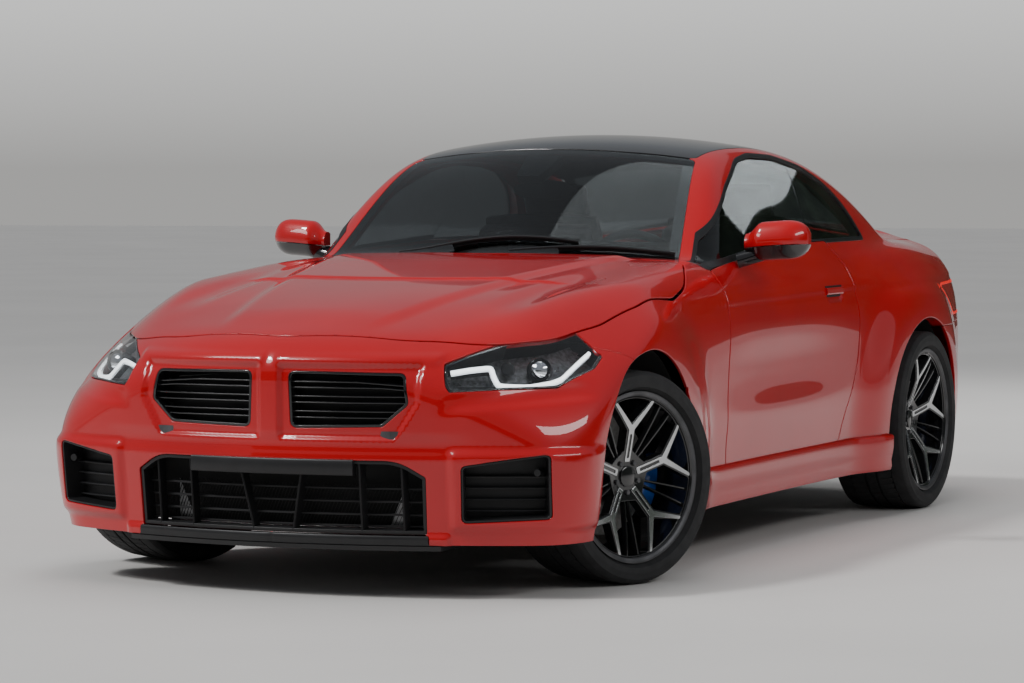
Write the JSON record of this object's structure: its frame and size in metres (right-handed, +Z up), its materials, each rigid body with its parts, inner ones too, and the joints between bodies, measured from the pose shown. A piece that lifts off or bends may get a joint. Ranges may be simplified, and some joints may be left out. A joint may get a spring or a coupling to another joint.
{
  "type": "two-door coupe car",
  "caption": "Low two-door coupe with flared arches, paired upper grilles, forked-spoke wheels, black roof and a full cabin.",
  "frame": {"origin": "middle of the car's footprint, on the ground", "axes": "+Z up, the car faces -Y, +X is its left side"},
  "size_m": [2.0886, 4.5492, 1.4257],
  "materials": {
    "paint": "gloss red",
    "black_paint": "gloss black",
    "glass": "tinted",
    "lamp_clear": "clear cover over a dark lamp",
    "lamp_red": "dark red lens",
    "black_trim": "black",
    "liner": "ribbed felt and plastic",
    "steel": "dull coated",
    "cabin_trim": "soft grained",
    "leather": "grained",
    "aluminium": "cast",
    "chrome": "satin",
    "tyre": "black rubber",
    "rim": "silver face, black inner",
    "iron": "machined faces",
    "caliper": "blue paint"
  },
  "bodies": {
    "body": {"body_side_left": "paint", "body_side_right": "paint", "quarter_glass": "glass", "fender_left": "paint", "fender_right": "paint", "tail_panel": "paint", "tail_lamps": "lamp_red", "front_bumper": "paint", "headlamps": "lamp_clear", "upper_grille": "black_trim", "lower_grille": "black_trim", "side_intakes": "black_trim", "splitter": "black_trim", "side_skirts": "paint", "rear_bumper": "paint", "diffuser": "black_trim", "roof_panel": "black_paint", "windscreen": "glass", "rear_window": "glass", "wheelhouses": "liner", "floor_pan": "liner", "bulkheads": "steel", "dashboard": "cabin_trim", "console": "cabin_trim", "front_seats": "leather", "rear_bench": "leather", "engine_block": "aluminium", "radiator": "steel", "front_frame": "steel", "front_subframe": "steel", "rear_subframe": "steel", "exhaust": "chrome", "carriers_rear": "caliper"},
    "door_left": {"door_left": "paint", "door_glass_left": "glass", "mirror_left": "paint"},
    "door_right": {"door_right": "paint", "door_glass_right": "glass", "mirror_right": "paint"},
    "bonnet": {"bonnet": "paint"},
    "boot_lid": {"boot_lid": "paint"},
    "steering_wheel": {"steering_wheel": "cabin_trim"},
    "knuckle_left": {"carrier_front_left": "caliper"},
    "knuckle_right": {"carrier_front_right": "caliper"},
    "wheel_front_left": {"tyre_front_left": "tyre", "rim_front_left": "rim", "disc_front_left": "iron"},
    "wheel_front_right": {"tyre_front_right": "tyre", "rim_front_right": "rim", "disc_front_right": "iron"},
    "wheel_rear_left": {"tyre_rear_left": "tyre", "rim_rear_left": "rim", "disc_rear_left": "iron"},
    "wheel_rear_right": {"tyre_rear_right": "tyre", "rim_rear_right": "rim", "disc_rear_right": "iron"}
  },
  "joints": [
    {"name": "steer_left", "type": "hinge", "parent": "body", "child": "knuckle_left", "pos_m": [0.7235, -1.455, 0.337], "axis": [0, 0, 1], "range_deg": [-14, 56]},
    {"name": "steer_right", "type": "hinge", "parent": "body", "child": "knuckle_right", "pos_m": [-0.7235, -1.455, 0.337], "axis": [0, 0, 1], "range_deg": [-14, 56]},
    {"name": "spin_front_left", "type": "hinge", "parent": "knuckle_left", "child": "wheel_front_left", "pos_m": [0.80285, -1.48546, 0.337], "axis": [0.9336, -0.3584, 0], "continuous": true},
    {"name": "spin_front_right", "type": "hinge", "parent": "knuckle_right", "child": "wheel_front_right", "pos_m": [-0.80285, -1.42454, 0.337], "axis": [0.9336, -0.3584, 0], "continuous": true},
    {"name": "spin_rear_left", "type": "hinge", "parent": "body", "child": "wheel_rear_left", "pos_m": [0.8025, 1.292, 0.339], "axis": [1, 0, 0], "continuous": true},
    {"name": "spin_rear_right", "type": "hinge", "parent": "body", "child": "wheel_rear_right", "pos_m": [-0.8025, 1.292, 0.339], "axis": [1, 0, 0], "continuous": true},
    {"name": "steering_column", "type": "hinge", "parent": "body", "child": "steering_wheel", "pos_m": [0.375, -0.215, 0.905], "axis": [0, 0.9135, 0.4067], "range_deg": [-196, 784]},
    {"name": "door_hinge_left", "type": "hinge", "parent": "body", "child": "door_left", "pos_m": [0.842, -0.49, 0.565], "axis": [0, 0, -1], "range_deg": [0, 65]},
    {"name": "door_hinge_right", "type": "hinge", "parent": "body", "child": "door_right", "pos_m": [-0.842, -0.49, 0.565], "axis": [0, 0, 1], "range_deg": [0, 65]},
    {"name": "bonnet_hinge", "type": "hinge", "parent": "body", "child": "bonnet", "pos_m": [0, -0.69, 0.99], "axis": [-1, 0, 0], "range_deg": [0, 50]},
    {"name": "boot_hinge", "type": "hinge", "parent": "body", "child": "boot_lid", "pos_m": [0, 1.722, 1.078], "axis": [1, 0, 0], "range_deg": [0, 75]}
  ],
  "couplings": [
    {"joint": "steer_right", "follows": "steer_left", "ratio": 1},
    {"joint": "steering_column", "follows": "steer_left", "ratio": 14}
  ]
}
